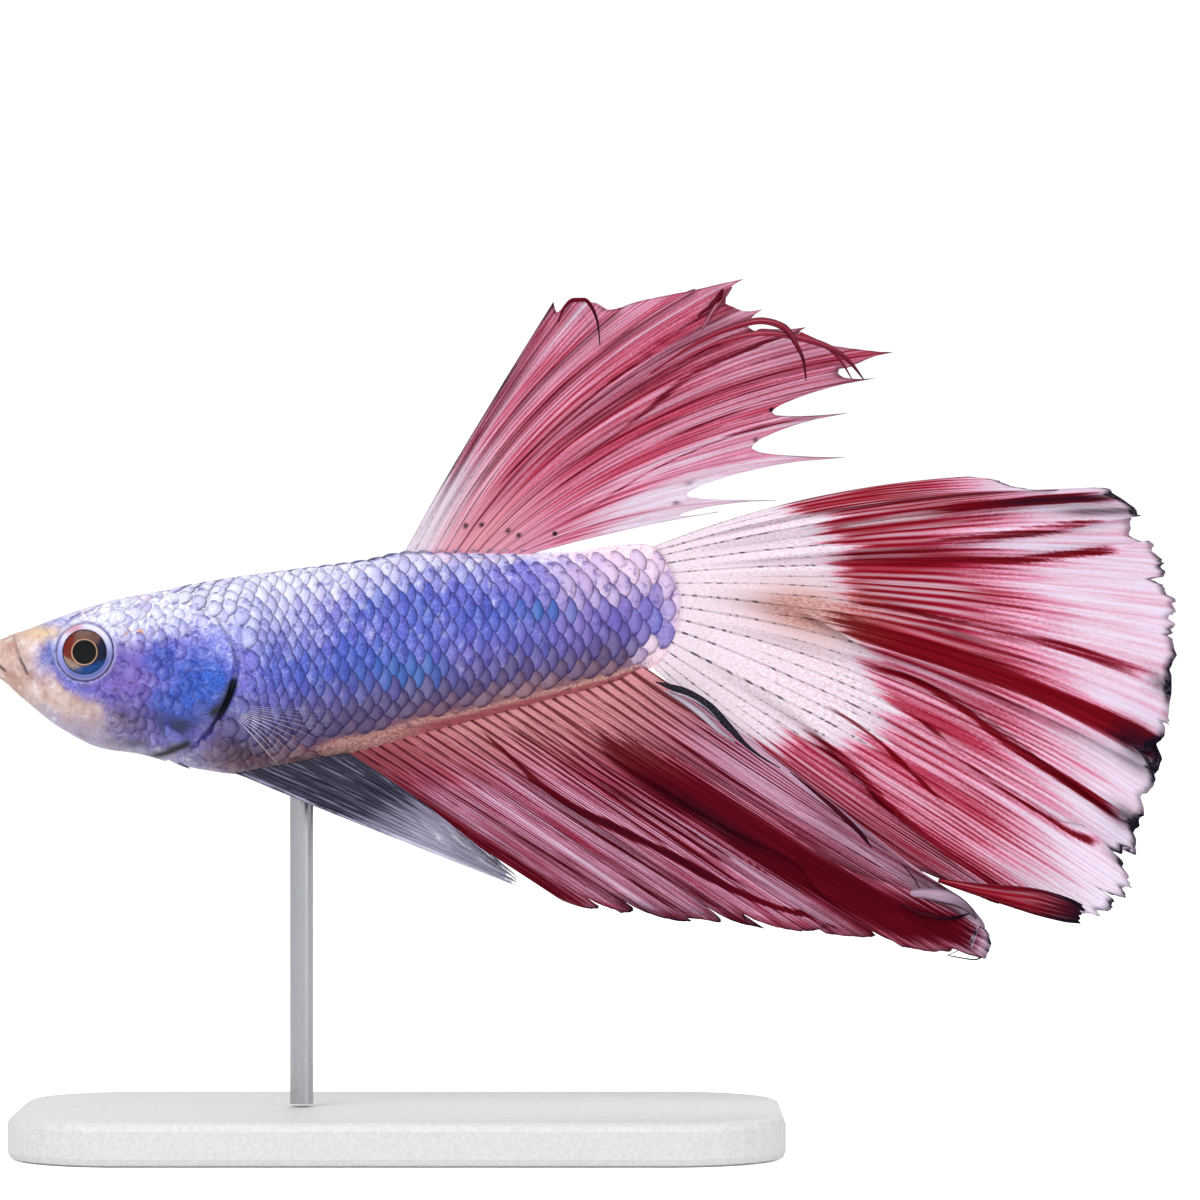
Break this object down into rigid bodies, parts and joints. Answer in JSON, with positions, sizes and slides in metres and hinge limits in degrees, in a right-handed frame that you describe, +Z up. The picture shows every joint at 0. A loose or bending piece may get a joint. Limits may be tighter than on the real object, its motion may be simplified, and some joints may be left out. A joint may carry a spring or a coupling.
{
  "type": "halfmoon betta fish model",
  "caption": "Halfmoon betta fish with a lavender blue scaled body and red and white ragged fins, a still life-size model swimming on a plain display stand.",
  "frame": {"origin": "centre of the underside of the stand's base, on the floor", "axes": "+X along the fish from its head to its tail, -X the way it swims, +Y out of its right side, +Z up"},
  "size_m": [0.073, 0.026, 0.0524],
  "materials": {
    "flesh": "pale peach snout and violet cheek, wet sheen",
    "scales": "lavender blue scales with dark outlines, wet sheen",
    "gill_cover": "bright blue gill cover, wet sheen",
    "eye": "black pupil, red and blue iris, pale blue ring, clear cornea",
    "fin": "thin translucent membrane, white and crimson between dark rays",
    "pelvic_fin": "thin translucent blue-black membrane",
    "clear_fin": "nearly clear membrane with whitish rays",
    "stand_base": "satin pale grey",
    "stand_rod": "satin steel"
  },
  "bodies": {
    "root": {"head": "flesh", "lower_jaw": "flesh", "gill_cover_left": "gill_cover", "gill_cover_right": "gill_cover", "eye_left": "eye", "eye_right": "eye", "trunk": "scales", "tail_base": "scales", "dorsal_fin": "fin", "anal_fin": "fin", "caudal_fin": "fin", "pectoral_fin_left": "clear_fin", "pectoral_fin_right": "clear_fin", "pelvic_fin_left": "pelvic_fin", "pelvic_fin_right": "pelvic_fin", "stand_base": "stand_base", "stand_rod": "stand_rod"}
  },
  "joints": []
}
